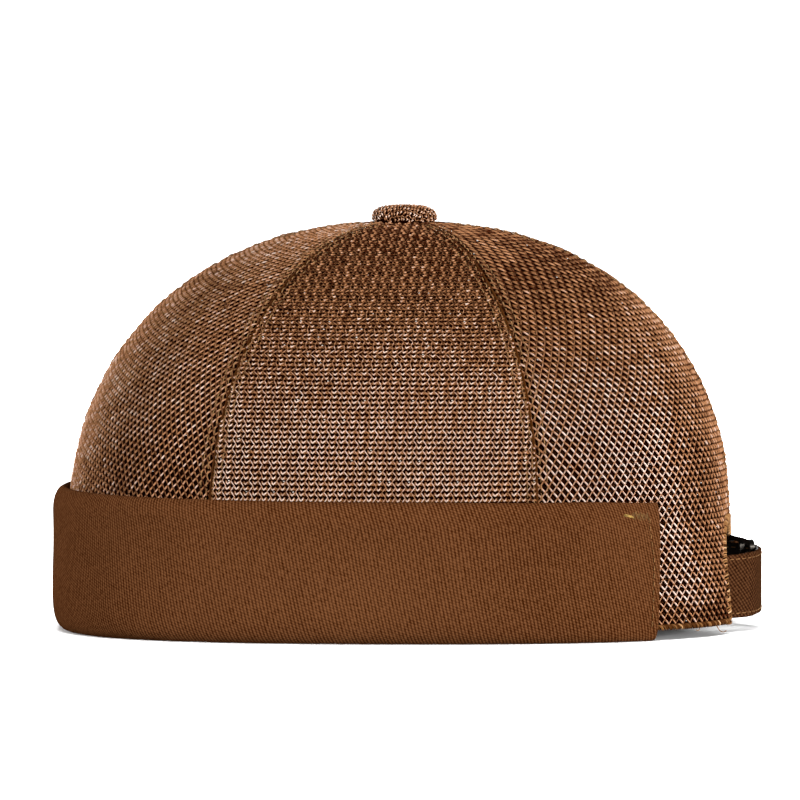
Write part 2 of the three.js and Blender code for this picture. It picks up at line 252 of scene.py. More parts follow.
class Build:
    """Collects parts of one piece: points, faces, uv, shade and a material number for each part."""

    def __init__(self):
        self.points = []
        self.faces = []
        self.uv = []
        self.shade = []
        self.face_materials = []
        self.count = 0

    def add(self, points, faces, material=0, uv=None, shade=0.5):
        points = np.asarray(points, dtype=float).reshape(-1, 3)
        if len(points) == 0:
            return
        self.points.append(points)
        self.faces.append(np.where(np.asarray(faces) < 0, -1, np.asarray(faces) + self.count))
        self.uv.append(np.zeros((len(points), 2)) if uv is None else np.asarray(uv).reshape(-1, 2))
        self.shade.append(np.broadcast_to(np.asarray(shade, dtype=float), len(points)))
        self.face_materials.append(np.full(len(faces), material))
        self.count += len(points)

    def add_tubes(self, centres, outward, radius, material=0, shade=0.5, sides=4):
        """Tubes along many paths, in one shade or with a shade for each point of each path."""
        ring, faces = tubes(centres, outward, radius, sides)
        if np.ndim(shade):
            shade = np.repeat(np.ravel(shade), sides)
        self.add(ring, faces, material, shade=shade)

    def finish(self, name, materials):
        return make_mesh(
            name, np.concatenate(self.points), np.concatenate(self.faces), materials,
            uv=np.concatenate(self.uv), shade=np.concatenate(self.shade),
            face_materials=np.concatenate(self.face_materials),
        )


def grid_faces(rows, columns, wrap=False, flip=False):
    """Quads over a grid of points, row by row; wrap joins the last column to the first."""
    last = columns if wrap else columns - 1
    row, column = np.meshgrid(np.arange(rows - 1), np.arange(last), indexing="ij")
    following = (column + 1) % columns
    faces = np.stack([
        row * columns + column, row * columns + following,
        (row + 1) * columns + following, (row + 1) * columns + column,
    ], axis=-1).reshape(-1, 4)
    return faces[:, ::-1] if flip else faces


def tubes(centres, outward, radius, sides):
    """Closed tubes along many paths at once: centres and outward directions are (paths, points, 3)."""
    centres = np.asarray(centres, dtype=float)
    paths, count, _ = centres.shape
    along = unit(np.gradient(centres, axis=1))
    side = unit(np.cross(along, outward))
    rise = unit(np.cross(side, along))
    turn = np.pi / 2 + (np.arange(sides) + (0.5 if sides % 2 == 0 else 0)) / sides * 2 * np.pi
    radius = np.broadcast_to(np.asarray(radius, dtype=float), (paths, count))[:, :, None, None]
    ring = (centres[:, :, None]
            + radius * np.cos(turn)[:, None] * side[:, :, None]
            + radius * np.sin(turn)[:, None] * rise[:, :, None])
    path = np.arange(paths)[:, None, None] * count * sides
    step = np.arange(count - 1)[None, :, None] * sides
    place = np.arange(sides)[None, None, :]
    following = (place + 1) % sides
    walls = np.stack([
        path + step + place, path + step + following,
        path + step + sides + following, path + step + sides + place,
    ], axis=-1).reshape(-1, 4)
    # Both ends, in quads and at most one triangle
    caps = []
    for start in range(0, sides - 2, 2):
        corner = [0, *range(min(start + 3, sides - 1), start, -1)]
        first = np.arange(paths)[:, None] * count * sides + np.array(corner)
        for cap in (first, first[:, ::-1] + (count - 1) * sides):
            caps.append(np.pad(cap, ((0, 0), (0, 4 - len(corner))), constant_values=-1))
    return ring.reshape(-1, 3), np.concatenate([walls, *caps])


def smooth_path(points, count):
    """Even steps along a Catmull-Rom curve through the points."""
    points = np.asarray(points, dtype=float)
    padded = np.concatenate([2 * points[:1] - points[1:2], points, 2 * points[-1:] - points[-2:-1]])
    fine = []
    t = np.linspace(0, 1, 24, endpoint=False)[:, None]
    for start in range(len(padded) - 3):
        a, b, c, d = padded[start:start + 4]
        fine.append(0.5 * (2 * b + (c - a) * t + (2 * a - 5 * b + 4 * c - d) * t ** 2
                           + (3 * b - a - 3 * c + d) * t ** 3))
    fine.append(padded[-2:-1])
    fine = np.concatenate(fine)
    run = run_along(fine)
    return follow(np.linspace(0, run[-1], count), run, fine)


def add_end(build, ring, near, far, flip, uv=None):
    """Closes a ring of points with a strip between its points near and far."""
    both = np.concatenate([near, far])
    half = len(near)
    index = np.arange(half - 1)
    faces = np.stack([index, index + 1, index + half + 1, index + half], axis=-1)
    build.add(ring[both], faces[:, ::-1] if flip else faces, 0, uv=None if uv is None else uv[both])


# Materials

class Shader:
    """Node material with short calls for its maths."""

    def __init__(self, name):
        self.material = bpy.data.materials.new(name)
        self.material.use_nodes = True
        self.tree = self.material.node_tree
        self.surface = self.tree.nodes["Principled BSDF"]

    def node(self, kind, settings=None, inputs=None):
        made = self.tree.nodes.new(kind)
        for key, value in (settings or {}).items():
            setattr(made, key, value)
        for key, value in (inputs or {}).items():
            self.put(made.inputs[key], value)
        return made

    def put(self, socket, value):
        if isinstance(value, bpy.types.NodeSocket):
            self.tree.links.new(value, socket)
        else:
            socket.default_value = value

    def math(self, operation, *values):
        made = self.node("ShaderNodeMath", {"operation": operation})
        for socket, value in zip(made.inputs, values):
            self.put(socket, value)
        return made.outputs[0]

    def wave(self, value, pitch):
        """0 to 1 and back over each pitch."""
        turned = self.math("MULTIPLY", value, 2 * math.pi / pitch)
        return self.math("MULTIPLY_ADD", self.math("SINE", turned), 0.5, 0.5)

    def noise(self, scale, detail=2.0, vector=None):
        inputs = {"Scale": scale, "Detail": detail}
        if vector is not None:
            inputs["Vector"] = vector
        return self.node("ShaderNodeTexNoise", inputs=inputs).outputs["Fac"]

    def place(self, kind="Object"):
        return self.node("ShaderNodeTexCoord").outputs[kind]

    def ramp(self, value, low, high):
        """0 below low and 1 above high."""
        made = self.node("ShaderNodeMapRange", {"interpolation_type": "SMOOTHSTEP"},
                         {"Value": value, "From Min": low, "From Max": high})
        return made.outputs["Result"]

    def mix(self, share, low, high):
        made = self.node("ShaderNodeMix", {"data_type": "RGBA"})
        self.put(made.inputs[0], share)
        self.put(made.inputs[6], low if isinstance(low, bpy.types.NodeSocket) else (*low, 1))
        self.put(made.inputs[7], high if isinstance(high, bpy.types.NodeSocket) else (*high, 1))
        return made.outputs[2]

    def bump(self, height, strength, distance):
        inputs = {"Strength": strength, "Distance": distance, "Height": height}
        made = self.node("ShaderNodeBump", inputs=inputs)
        self.put(self.surface.inputs["Normal"], made.outputs[0])

    def set(self, **values):
        for key, value in values.items():
            name = key.replace("_", " ").title().replace("Ior", "IOR")
            self.put(self.surface.inputs[name], value)

    def colour(self, value):
        socket = value if isinstance(value, bpy.types.NodeSocket) else (*value, 1)
        self.put(self.surface.inputs["Base Color"], socket)

    def cloth_axes(self):
        """The cloth's own coordinates, in millimetres."""
        flat = self.node("ShaderNodeUVMap", {"uv_map": "cloth"}).outputs[0]
        split = self.node("ShaderNodeSeparateXYZ", inputs={"Vector": flat})
        return split.outputs[0], split.outputs[1]


def yarn_material(name, dark, middle, light, roughness):
    """Shiny knitting yarn: the painted highlights and shade read from each strand's points, and broad
    mottling over the cap.
    """
    shader = Shader(name)
    own = shader.node("ShaderNodeAttribute", {"attribute_name": "shade"}).outputs["Fac"]
    broad = shader.noise(28.0, 2.0, shader.place())
    share = shader.math("MULTIPLY_ADD", broad, 0.4, shader.math("ADD", own, -0.2))
    low = shader.mix(shader.ramp(share, 0.1, 0.95), dark, middle)
    shader.colour(shader.mix(shader.ramp(share, 0.75, 1.5), low, light))
    shader.set(roughness=roughness, specular_ior_level=0.03)
    shader.put(shader.surface.inputs["Specular Tint"], (1, 0.85, 0.72, 1))
    return shader.material


def backing_material():
    """Inner layer of the mesh: level ribs of yarn, near-black in the furrows as painted shade, and only as
    bright as each point's painted light. Its axes are knit cells.
    """
    shader = Shader("mesh_inner_layer")
    u, v = shader.cloth_axes()
    rib = shader.wave(shader.math("ADD", v, 0.375), 0.5)
    plies = shader.wave(shader.math("MULTIPLY_ADD", v, 1.2, u), 0.31)
    uneven = shader.noise(420.0, 2.0, shader.place())
    # The shade attribute here is the painted light that the inner layer shows
    own = shader.node("ShaderNodeAttribute", {"attribute_name": "shade"}).outputs["Fac"]
    rib = shader.math("MULTIPLY", rib, own)
    pattern = shader.math("MULTIPLY", rib, shader.math("MULTIPLY_ADD", plies, 0.4, 0.6))
    pattern = shader.math("MULTIPLY", pattern, shader.math("MULTIPLY_ADD", uneven, 1.2, 0.35))
    # The near-black end is painted shade seen through the knit
    colour = shader.mix(shader.ramp(pattern, 0.3, 1.0), (0.008, 0.001, 0.0001), (0.42, 0.18, 0.07))
    shader.colour(colour)
    shader.set(roughness=0.8, specular_ior_level=0.0)
    shader.bump(plies, 0.4, 0.3 * MM)
    return shader.material


def twill_material(name, dark, light, pitch, lean, cross_pitch):
    """Cotton twill: slanting ribs broken into small floats, slightly worn and mottled."""
    shader = Shader(name)
    u, v = shader.cloth_axes()
    rib_axis = shader.math("MULTIPLY_ADD", v, lean, u)
    ribs = shader.wave(rib_axis, pitch)
    floats = shader.wave(shader.math("MULTIPLY_ADD", u, 0.35, v), cross_pitch)
    weave = shader.math("MULTIPLY", shader.math("MULTIPLY_ADD", ribs, 0.75, 0.25),
                        shader.math("MULTIPLY_ADD", floats, 0.5, 0.5))
    speckle = shader.noise(1100.0, 2.0, shader.place())
    broad = shader.noise(16.0, 3.0, shader.place())
    share = shader.math("MULTIPLY_ADD", speckle, 0.9, shader.math("MULTIPLY_ADD", broad, 0.3, -0.55))
    share = shader.math("ADD", share, weave)
    shader.colour(shader.mix(shader.ramp(share, 0.0, 1.1), dark, light))
    shader.set(roughness=0.9, specular_ior_level=0.0)
    shader.bump(weave, 0.5, 0.3 * MM)
    return shader.material


def thread_material(name, colour, roughness=0.5):
    shader = Shader(name)
    grain = shader.noise(900.0, 2.0, shader.place())
    darker = tuple(0.45 * part for part in colour)
    shader.colour(shader.mix(shader.ramp(grain, 0.3, 0.7), darker, colour))
    shader.set(roughness=roughness, specular_ior_level=0.12)
    return shader.material


def metal_material():
    shader = Shader("dark_plated_metal")
    worn = shader.noise(220.0, 4.0, shader.place())
    shader.colour(shader.mix(shader.ramp(worn, 0.45, 0.75), (0.018, 0.016, 0.014), (0.09, 0.08, 0.07)))
    shader.set(metallic=1.0)
    shader.put(shader.surface.inputs["Roughness"], shader.math("MULTIPLY_ADD", worn, 0.3, 0.22))
    return shader.material


# Yarns: dark, middle and light, and roughness
yarn = yarn_material("mesh_yarn", (0.05, 0.01, 0.002), (0.47, 0.215, 0.097), (0.92, 0.73, 0.63), 0.45)
edge_yarn = yarn_material("edge_yarn", (0.07, 0.022, 0.004), (0.36, 0.17, 0.06), (0.75, 0.46, 0.24), 0.42)
# Near-white thread for the glint loops: painted highlights
bright_yarn = thread_material("bright_glints", (0.95, 0.9, 0.85), 0.2)
inner_layer = backing_material()
# Twills: dark and light, pitch of the ribs, their lean and pitch of the floats, in millimetres
cuff_twill = twill_material("cuff_twill", (0.03, 0.006, 0.0002), (0.166, 0.065, 0.0245), 1.086, 0.294, 0.84)
strap_twill = twill_material("strap_twill", (0.01, 0.002, 0.0002), (0.105, 0.042, 0.017), 1.45, -0.9, 1.05)
gold_thread = thread_material("gold_brown_thread", (0.38, 0.2, 0.08))
bright_gold_thread = thread_material("bright_gold_thread", (0.55, 0.34, 0.09))
dark_gold_thread = thread_material("dark_gold_thread", (0.19, 0.1, 0.028))
tan_thread = thread_material("tan_thread", (0.38, 0.185, 0.065))
# Near-black cloth for the inner faces of the strap and the tab
dark_inner_face_cloth = thread_material("dark_strap_inner_face", (0.013, 0.008, 0.005), 0.8)
dark_metal = metal_material()


# Arch at the back

def in_arch(points, margin=0.0):
    """True where a point lies in the opening, made wider by the margin."""
    across = np.abs(points[..., 0]) / (arch.half_width + margin)
    rise = np.maximum(points[..., 2], 0) / (arch.height + margin)
    return (points[..., 1] > 0) & (across ** arch.squareness + rise ** arch.squareness < 1)


# Crown panels

class Panel:
    """Cloth coordinates of one panel: u across from its middle line, v up from the hem."""

    rows = 161
    columns = 81
    steps = 64

    def __init__(self, place, side, from_degrees, to_degrees, mirrored=False):
        self.name = f"crown_panel_{place}_{side}"
        self.place = place
        self.cell = cell_width[place]
        self.mirrored = mirrored
        self.levels = np.linspace(-1, 1, self.rows)
        shares = np.linspace(0, 1, self.columns)
        self.start = math.radians(from_degrees)
        self.sweep = math.radians(to_degrees - from_degrees)
        grid = crown_point(self.start + self.sweep * shares[None, :], self.levels[:, None],
                           np.sin(np.pi * shares)[None, :])
        across = run_along(grid.transpose(1, 0, 2)).T
        middle = self.columns // 2
        self.heights = run_along(grid[:, middle])
        self.widths = across[:, -1]
        self.lefts = across[:, middle]
        fractions = np.linspace(0, 1, self.steps + 1)
        self.share_table = np.stack([
            np.interp(fractions * width, row, shares) for width, row in zip(self.widths, across)
        ])

    def column_place(self, column):
        """Distance from the middle line to a column of cells; towards the arch the cells get wider."""
        if self.place != "back":
            return column * self.cell
        most = 40
        columns = np.arange(-most, most + 1)
        towards_arch = -columns if self.mirrored else columns
        widths = self.cell + wider_by_arch * smooth_step(towards_arch, -10, 1)
        places = np.concatenate([[0], np.cumsum(widths[:-1])])
        return np.interp(column, columns, places - places[most])

    def height_from(self, z):
        """Height along the cloth at a height over the table."""
        return float(np.interp(level_at(np.array(z)), self.levels, self.heights))

    def span(self, v):
        """Width of the cloth, and how far its middle line is from the left seam."""
        return np.interp(v, self.heights, self.widths), np.interp(v, self.heights, self.lefts)

    def locate(self, u, v):
        """Angle, level, dip share and distances to both seams of cloth points."""
        all_rows = np.arange(self.rows)
        row = np.interp(v, self.heights, all_rows)
        level = np.interp(row, all_rows, self.levels)
        width = np.interp(row, all_rows, self.widths)
        left = np.interp(row, all_rows, self.lefts)
        from_left = u + left
        to_right = width - from_left
        fraction = np.clip(from_left / width, 0.001, 0.999) * self.steps
        low_row = np.clip(row.astype(int), 0, self.rows - 2)
        low_column = np.clip(fraction.astype(int), 0, self.steps - 1)
        part = row - low_row
        side = fraction - low_column
        table = self.share_table
        share = (
            table[low_row, low_column] * (1 - part) * (1 - side)
            + table[low_row, low_column + 1] * (1 - part) * side
            + table[low_row + 1, low_column] * part * (1 - side)
            + table[low_row + 1, low_column + 1] * part * side
        )
        return self.start + self.sweep * share, level, np.sin(np.pi * share), from_left, to_right

    def surface(self, u, v, height):
        """Points at a height over the cloth, their outward directions and distances inside the seams."""
        angle, level, dip_share, from_left, to_right = self.locate(u, v)
        normal = crown_normal(angle, level)
        inside = np.minimum(from_left, to_right)
        near = np.maximum(inside, 0)
        relief = (seam.ridge * np.exp(-((near - seam.ridge_at) / seam.ridge_spread) ** 2)
                  - seam.valley * np.exp(-(near / seam.valley_spread) ** 2))
        lumps = 0.2 * smooth_noise(u, v, 9.0, self.start)
        under_button = -0.3 * smooth_step(v, 95, 130)
        into_seam = np.where(inside < 0.2, -0.35, 0)
        offset = height + relief + (lumps + under_button) + into_seam
        return crown_point(angle, level, dip_share) + normal * offset[..., None], normal, inside


def row_height(row, place):
    """Height along the cloth of a row of knit, counted from the hem."""
    if place == "side":
        return knit.hem_cell * row - knit.shrink * row ** 2
    even = knit.hem_cell * row
    if place == "front":
        return even
    return even + knit.stretch * np.maximum(even - knit.stretch_from, 0) ** 2


def row_at(height, place):
    rows = np.linspace(0, 60, 601)
    return np.interp(height, row_height(rows, place), rows)


# Strands of one knit cell: x across and y down in shares of the cell, height in millimetres,
# and the yarn's painted light there: painted highlights along a strand's middle, painted shade towards its
# ends

level_strands = [
    ([(0.0, 0.0, 0.05, 0.5), (0.2, 0.25, 0.2, 0.95), (0.4, 0.5, 0.1, 0.65), (0.2, 0.76, 0.2, 1.0),
      (0.0, 1.0, 0.05, 0.5)], 0.16),
    ([(0.36, 0.5, 0.0, 0.2), (0.5, 0.7, 0.34, 0.6), (0.63, 0.84, 0.48, 1.3), (0.78, 0.72, 0.38, 1.0),
      (0.9, 0.52, -0.1, 0.15)], 0.25),
    ([(0.4, 0.02, -0.05, 0.15), (0.52, 0.2, 0.28, 0.65), (0.66, 0.34, 0.48, 1.3), (0.82, 0.18, 0.34, 0.9),
      (1.02, 0.04, -0.05, 0.2)], 0.25),
]
net_thick = np.array([
    (-0.24, -0.26, -0.05, 0.5), (-0.1, -0.1, 0.2, 1.0), (0.1, 0.1, 0.26, 1.12), (0.24, 0.26, 0.0, 0.6),
])
net_thin = np.array([
    (0.26, 0.24, 0.0, 0.45), (0.1, 0.4, -0.05, 0.78), (-0.1, 0.6, -0.05, 0.78), (-0.26, 0.76, 0.0, 0.45),
])
half_cell = np.array([0.5, 0.5, 0, 0])
net_strands = [
    (net_thick, 0.35), (net_thick + half_cell, 0.35), (net_thin, 0.25), (net_thin + half_cell, 0.25),
]
panel_strands = {"front": net_strands, "side": level_strands, "back": net_strands}
# Near-white loops that stand for glints: painted highlights
glint_loop = ([(0.68, 0.02, 0.0, 1), (0.75, -0.01, 0.14, 1), (0.82, 0.03, 0.0, 1)], 0.17)


# Places in a panel's list of materials
BACKING, YARN, STITCH, GLINT, CORD = range(5)


def towards_top(v):
    """0 low on a panel and 1 near its top."""
    return smooth_step(v, knit.finer_from, knit.finer_by)


def yarn_painted_light(panel, u, v, inside):
    """Painted light and shade that a panel's yarn gets by its place, and darkening beside the hem."""
    by_top = top_painted_shade[panel.place] * np.clip((v - fade.top_from) / fade.top_length, 0, 1)
    by_seam = seam_painted_shade[panel.place] * np.exp(-(np.maximum(inside, 0) / fade.seam_reach) ** 2)
    by_hem = hem_tone * np.clip(1.4 - v / fade.hem_length, 0, 1)
    by_arch = 0
    if panel.place == "back":
        towards_arch = -u if panel.mirrored else u
        beside = smooth_step(towards_arch, fade.arch_from, fade.arch_by)
        by_arch = arch_painted_shade * beside * (1 - smooth_step(v, fade.arch_full_below, fade.arch_none_above))
    return panel_painted_light[panel.place] + by_top + by_seam + by_hem + by_arch


def add_cells(build, panel, strand, columns, rows, chosen=None):
    """One strand of the knit in each cell of a panel, or in a chosen share of its cells."""
    path, radius = strand
    path = np.array(path)
    column, row = np.meshgrid(columns, rows)
    column = column.ravel()
    row = row.ravel()
    if chosen is not None:
        picked = random.random(len(row)) < chosen
        column = column[picked]
        row = row[picked]
    x = path[None, :, 0] * (-1 if panel.mirrored else 1)
    u = panel.column_place(column[:, None] + x)
    height_in_rows = row[:, None] + 1 - path[None, :, 1]
    v = row_height(height_in_rows, panel.place)
    if panel.place == "front":
        v = v - knit.front_drop * (u if panel.mirrored else -u)
    finer = towards_top(v)
    if panel.place == "side":
        finer = 0
        swing = np.abs(height_in_rows % 2 - 1) - 0.5
        u = u + panel.cell * 0.5 * swing * smooth_step(v, 60, 95)
    wander_u = knit.wobble * panel.cell * smooth_noise(u, v, 2.2, 1.0 + panel.start)
    wander_v = knit.wobble * panel.cell * smooth_noise(u, v, 2.6, 3.0 + panel.start)
    height = knit.sink + path[None, :, 2] * (1 - 0.5 * finer) + 0.07 * smooth_noise(u, v, 1.7, 5.0)
    top = panel.heights[-1]
    points, normal, inside = panel.surface(u + wander_u, np.clip(v + wander_v, 0, top), height)
    keep = (inside[:, len(path) // 2] > 0.1) & (v.max(axis=1) < top) & (v.min(axis=1) > 0.2)
    keep &= ~in_arch(points, 0.2).any(axis=1)
    keep &= points[..., 2].min(axis=1) > hem_line_height
    radius = np.broadcast_to(radius * strand_size[panel.place] * (1 - 0.2 * finer), v.shape)
    own = random.normal(0, tone_spread, (len(row), 1))
    # Painted highlights and shade along each strand, a random tone for each cell, and painted light and
    # shade by place
    shade = path[None, :, 3] + own + yarn_painted_light(panel, u, v, inside)
    material = YARN if chosen is None else GLINT
    build.add_tubes(points[keep], normal[keep], radius[keep], material, shade[keep], strand_sides)


def add_knit(build, panel, lowest):
    """Knit strands over one panel, from a height over the table up to the button."""
    bottom = panel.height_from(lowest)
    widest = panel.widths.max() / 2 + panel.cell
    columns = np.arange(math.ceil(-widest / panel.cell) - 1, math.floor(widest / panel.cell) + 2)
    more = 3 if panel.place == "front" else 0
    rows = np.arange(math.floor(row_at(bottom, panel.place)) - more,
                     math.ceil(row_at(panel.heights[-1], panel.place)) + more)
    for strand in panel_strands[panel.place]:
        add_cells(build, panel, strand, columns, rows)
    add_cells(build, panel, glint_loop, columns, rows, glint_share[panel.place])


# Heights over a cell's foot where the inner layer bends, and how far it comes out there
level_ribs = np.array([0.0, 0.14, 0.36, 0.5, 0.64, 0.86]), np.array([0.0, 0.85, 0.85, 0.0, 0.85, 0.85])
flat_ribs = np.array([0.0, 0.5]), np.array([0.1, 0.1])
panel_ribs = {"front": flat_ribs, "side": level_ribs, "back": flat_ribs}


def add_backing(build, panel):
    """Closed ribbed shell behind the strands, with cell coordinates on both sides."""
    columns = 23
    last = row_at(panel.heights[-1], panel.place)
    cells = np.arange(math.floor(last))
    rib_steps, rib_rises = panel_ribs[panel.place]
    row = np.append((cells[:, None] + rib_steps).ravel(), last)
    rise = np.append(np.tile(rib_rises, len(cells)), 0)
    first = row_at(hem_line_height - crown.hem_height, panel.place)
    rise = np.append(0, rise[row > first + 0.05])
    row = np.append(first, row[row > first + 0.05])
    rows = len(row)
    heights = row_height(row, panel.place)
    v = np.repeat(heights[:, None], columns, axis=1)
    width, left = panel.span(heights)
    gap_share = 0.003
    fraction = np.linspace(gap_share, 1 - gap_share, columns)
    u = fraction[None, :] * width[:, None] - left[:, None]
    if panel.place != "side":
        nearer_from = 75
        nearer_by = 125
        rise = rise + 0.6 * smooth_step(heights, nearer_from, nearer_by)
    lift = lerp(knit.furrow, knit.rib, rise)[:, None] + 0 * u
    outer, _, _ = panel.surface(u, v, lift)
    angle, level, dip_share, _, _ = panel.locate(u, v)
    inner = crown_point(angle, level, dip_share) + crown_normal(angle, level) * knit.inside
    points = np.concatenate([outer.reshape(-1, 3), inner.reshape(-1, 3)])
    size = rows * columns
    edge = np.concatenate([
        np.arange(columns), np.arange(1, rows) * columns + columns - 1,
        size - 2 - np.arange(columns - 1), np.arange(rows - 2, 0, -1) * columns,
    ])
    following = np.roll(edge, -1)
    walls = np.stack([edge + size, following + size, following, edge], axis=-1)
    faces = np.concatenate([
        grid_faces(rows, columns), grid_faces(rows, columns, flip=True) + size, walls,
    ])
    uv = np.stack([u / panel.cell, np.repeat(row[:, None], columns, axis=1)], axis=-1).reshape(-1, 2)
    # Painted light for the inner layer, more of it towards the top
    share = lerp(backing_share[panel.place], top_backing_share, towards_top(v)).ravel()
    build.add(points, faces, BACKING, uv=np.concatenate([uv, uv]), shade=np.concatenate([share, share]))


def cut_arch(thing):
    """Cuts the back opening out of a closed mesh."""
    steps = 40
    turn = np.linspace(-np.pi / 2, np.pi / 2, steps + 1)
    x = arch.half_width * np.sign(turn) * np.abs(np.sin(turn)) ** (2 / arch.squareness)
    z = arch.height * np.cos(turn) ** (2 / arch.squareness)
    below = -5
    x = np.concatenate([x[:1], x, x[-1:]])
    z = np.concatenate([[below], z, [below]])
    count = len(x)
    near, far = (np.stack([x, np.full(count, y), z], axis=-1) for y in (40.0, 140.0))
    data = bpy.data.meshes.new("arch_cutter")
    points = (np.concatenate([near, far]) + np.array([0, middle_y, 0])) * MM
    index = np.arange(count)
    following = np.roll(index, -1)
    sides = np.stack([index, following, following + count, index + count], axis=-1).tolist()
    caps = [index[::-1].tolist(), (index + count).tolist()]
    data.from_pydata(points.tolist(), [], sides + caps)
    cutter = new_object("arch_cutter", data)
    cut = thing.modifiers.new("arch", "BOOLEAN")
    cut.operation = "DIFFERENCE"
    cut.solver = "EXACT"
    cut.object = cutter
    bpy.context.view_layer.update()
    result = bpy.data.meshes.new_from_object(thing.evaluated_get(bpy.context.evaluated_depsgraph_get()))
    thing.modifiers.clear()
    thing.data = result
    bpy.data.objects.remove(cutter)


def add_topstitch(build, panel, lowest):
    """Short threads beside both seams of a panel, half sunk in the mesh."""
    pitch = topstitch.length + topstitch.gap
    bottom = panel.height_from(lowest)
    count = int((panel.heights[-1] - bottom - 8) / pitch)
    steps = 4
    starts = bottom + np.arange(count) * pitch
    along = starts[:, None] + np.linspace(0, topstitch.length, steps)[None, :]
    width, left = panel.span(along)
    for offset in (topstitch.offset, 1.2, -1.2, -topstitch.offset):
        u = offset - left if offset > 0 else width + offset - left
        sink = random.uniform(-0.45, -0.15, count)[:, None]
        height = sink + np.array([-0.35, 0.1, 0.1, -0.35])[None, :]
        points, normal, _ = panel.surface(u, along, height)
        keep = ~in_arch(points, 0.6).any(axis=1)
        build.add_tubes(points[keep], normal[keep], topstitch.radius, STITCH)


def add_seam_cord(build, panel, lowest):
    """Folded cloth down in the seam at one side of a panel, near-black as painted shade in the seam."""
    steps = 150
    levels = np.linspace(float(level_at(np.array(lowest))), 0.985, steps)
    angle = np.full(steps, panel.start)
    normal = crown_normal(angle, levels)
    points = crown_point(angle, levels) + normal * seam.cord_height
    keep = ~in_arch(points, 0.6)
    # Shade 0.02 makes the cord near-black: painted shade down the seam
    build.add_tubes(points[keep][None], normal[keep][None], seam.cord_radius, CORD, 0.02, sides=6)


def join_into(target, source):
    """Joins one object into another."""
    with bpy.context.temp_override(
        active_object=target, object=target, selected_objects=[target, source],
        selected_editable_objects=[target, source],
    ):
        bpy.ops.object.join()


panels = [
    Panel("front", "left", -90, -crown.side_seam_front, mirrored=True),
    Panel("side", "left", -crown.side_seam_front, crown.side_seam_back),
    Panel("back", "left", crown.side_seam_back, 90),
    Panel("front", "right", 180 + crown.side_seam_front, 270),
    Panel("side", "right", 180 - crown.side_seam_back, 180 + crown.side_seam_front),
    Panel("back", "right", 90, 180 - crown.side_seam_back, mirrored=True),
]
hidden_below = 36
panel_materials = [inner_layer, yarn, gold_thread, bright_yarn, edge_yarn]


def crown_panel(panel):
    lowest = crown.hem_height if panel.place == "back" else hidden_below
    strands = Build()
    add_knit(strands, panel, lowest)
    add_topstitch(strands, panel, lowest)
    add_seam_cord(strands, panel, lowest)
    if panel.place != "back":
        add_backing(strands, panel)
        return strands.finish(panel.name + "_knit", panel_materials)
    shell = Build()
    add_backing(shell, panel)
    backing = shell.finish(panel.name + "_shell", panel_materials)
    cut_arch(backing)
    knitted = strands.finish(panel.name + "_knit", panel_materials)
    join_into(knitted, backing)
    return knitted


crown_pieces = [crown_panel(panel) for panel in panels]


# Covered button

def button_profile(distance):
    """Radius, height and outward direction at a distance over the button from its middle."""
    turn = np.linspace(np.pi / 2, 0, 60)
    radius = button.radius * np.cos(turn) ** 0.62
    rise = lerp(0.12, 1, np.sin(turn) ** 0.85) * button.height
    radius = np.append(radius, [button.radius * 0.99, button.radius * 0.94])
    rise = np.append(rise, [0, -1.3])
    length = run_along(np.stack([radius, rise], axis=-1))
    step = 0.15
    low = np.maximum(distance - step, 0)
    high = np.minimum(distance + step, length[-1])
    ahead = np.interp(high, length, radius) - np.interp(low, length, radius)
    climb = np.interp(high, length, rise) - np.interp(low, length, rise)
    size = np.maximum(np.hypot(ahead, climb), 1e-9)
    return (np.interp(distance, length, radius), np.interp(distance, length, rise),
            -climb / size, ahead / size, length[-1])


def button_point(x, y, height):
    distance = np.hypot(x, y)
    angle = np.arctan2(y, x)
    radius, rise, out, up, _ = button_profile(distance)
    normal = np.stack([out * np.cos(angle), out * np.sin(angle), up], axis=-1)
    base = crown.apex_height + button.gap
    centre = np.stack([
        radius * np.cos(angle), crown.lean + radius * np.sin(angle), base + rise,
    ], axis=-1)
    return centre + normal * height[..., None], normal


